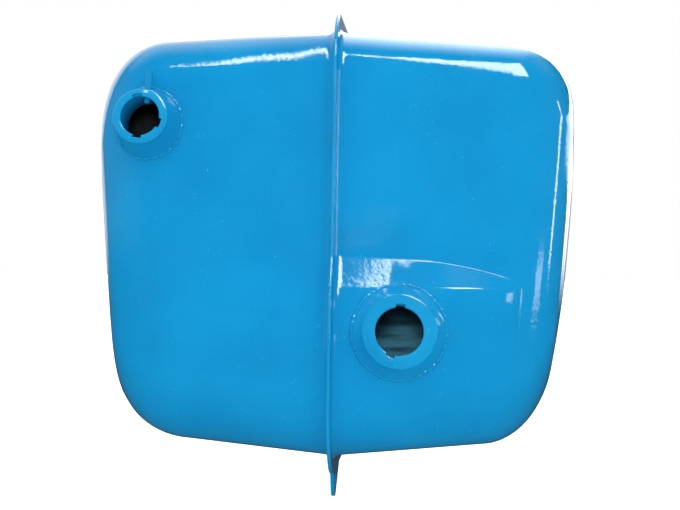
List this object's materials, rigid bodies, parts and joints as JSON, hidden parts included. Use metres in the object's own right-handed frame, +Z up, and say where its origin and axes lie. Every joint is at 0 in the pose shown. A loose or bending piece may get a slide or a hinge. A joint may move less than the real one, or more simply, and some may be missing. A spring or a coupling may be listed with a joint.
{
  "type": "coolant expansion vessel",
  "caption": "Painted steel coolant expansion vessel: two drawn half shells with a seam flange and lugs, a filler neck, a pressure-cap neck, an overflow tube, a feed pipe and vent nipples.",
  "frame": {"origin": "midway between the two rear ear bolt holes, in the middle of the seam flange", "axes": "+X across the vessel along its draw direction and the bolt hole axes, towards the half with the filler neck; +Y to the back; +Z up"},
  "size_m": [0.4036, 0.2749, 0.4039],
  "materials": {
    "shell_paint": "gloss",
    "neck_paint": "gloss",
    "weld_paint": "gloss",
    "pipe_paint": "gloss"
  },
  "bodies": {
    "root": {"left_half_shell": "shell_paint", "right_half_shell": "shell_paint", "seam_weld_front": "weld_paint", "seam_weld_back": "weld_paint", "seam_weld_foot": "weld_paint", "filler_neck_tube": "neck_paint", "filler_neck_collar": "neck_paint", "filler_neck_lip": "neck_paint", "filler_neck_weld": "weld_paint", "pressure_neck_tube": "neck_paint", "pressure_neck_collar": "neck_paint", "pressure_neck_lip": "neck_paint", "pressure_neck_weld": "weld_paint", "overflow_tube": "pipe_paint", "overflow_tube_braze": "weld_paint", "feed_pipe": "pipe_paint", "feed_pipe_collar": "pipe_paint", "feed_pipe_weld": "weld_paint", "upper_vent_nipple": "pipe_paint", "upper_vent_weld": "weld_paint", "lower_vent_nipple": "pipe_paint", "lower_vent_weld": "weld_paint"}
  },
  "joints": []
}
